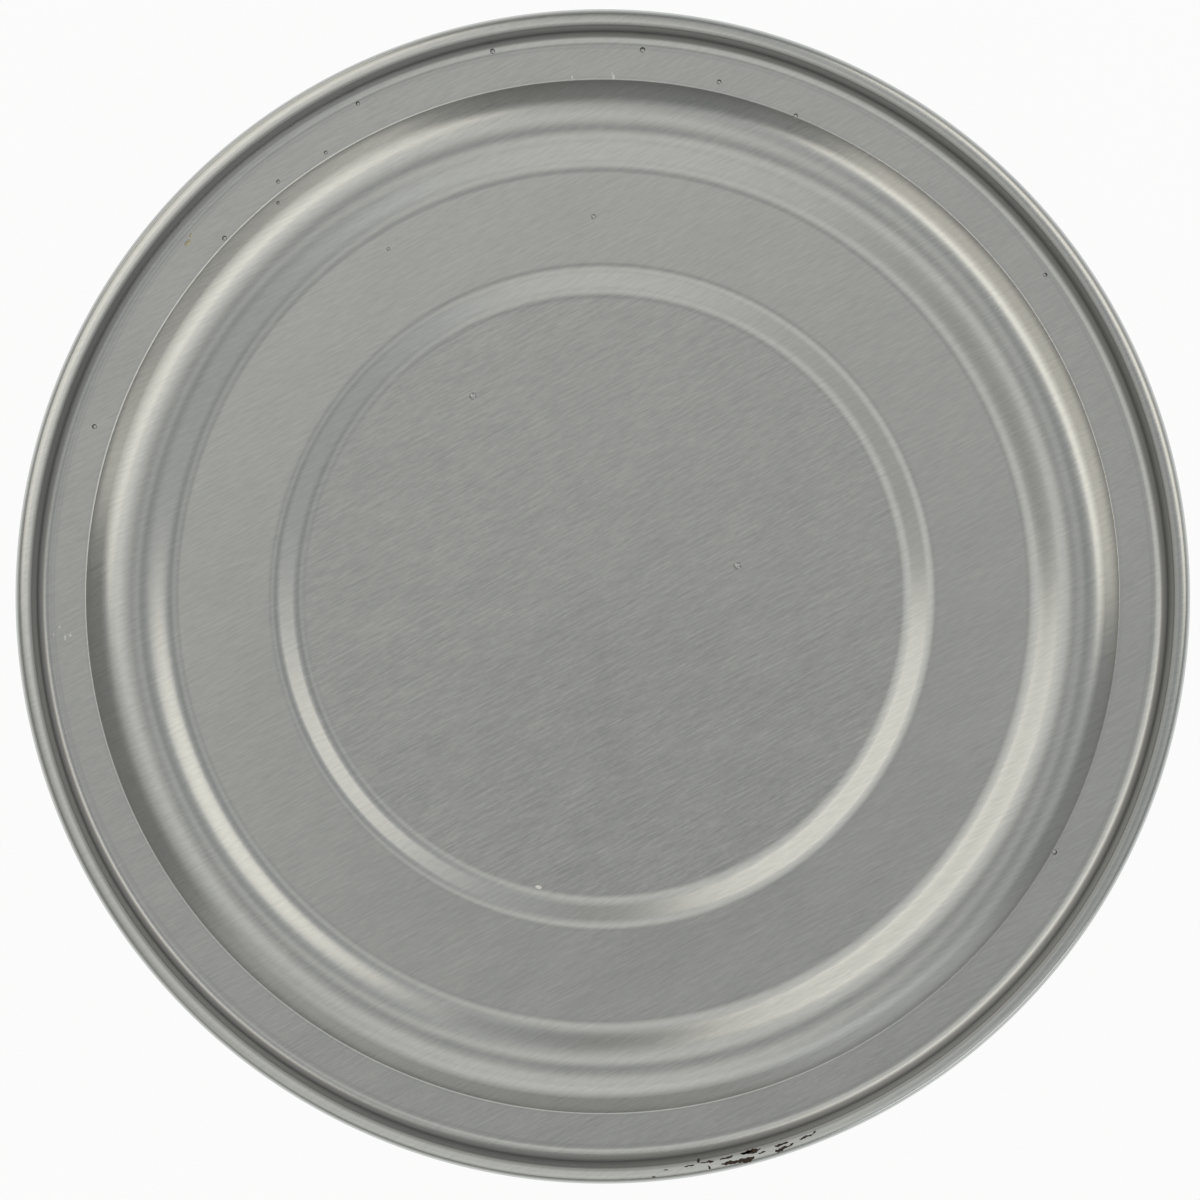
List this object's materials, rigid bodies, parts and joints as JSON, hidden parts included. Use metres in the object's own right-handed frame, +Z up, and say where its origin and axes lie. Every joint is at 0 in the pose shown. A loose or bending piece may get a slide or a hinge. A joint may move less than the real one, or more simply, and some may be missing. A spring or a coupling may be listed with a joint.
{
  "type": "steel food can",
  "caption": "Sealed cylindrical steel food can of navy beans, with double-seamed beaded ends and a ribbed bare body.",
  "frame": {"origin": "on the can's axis, in the plane of the lower seam's crest that the can stands on", "axes": "+Z up along the can's axis; the rolled grain of both ends runs about 28 degrees above +X towards +Y, and the body's side seam faces +Y"},
  "size_m": [0.0762, 0.0762, 0.1127],
  "materials": {
    "end_tinplate": "bright tinplate with fine straight rolled grain",
    "body_tinplate": "bright tinplate, beaded, with a welded side seam"
  },
  "bodies": {
    "root": {"can_body": "body_tinplate", "top_end": "end_tinplate", "bottom_end": "end_tinplate"}
  },
  "joints": []
}
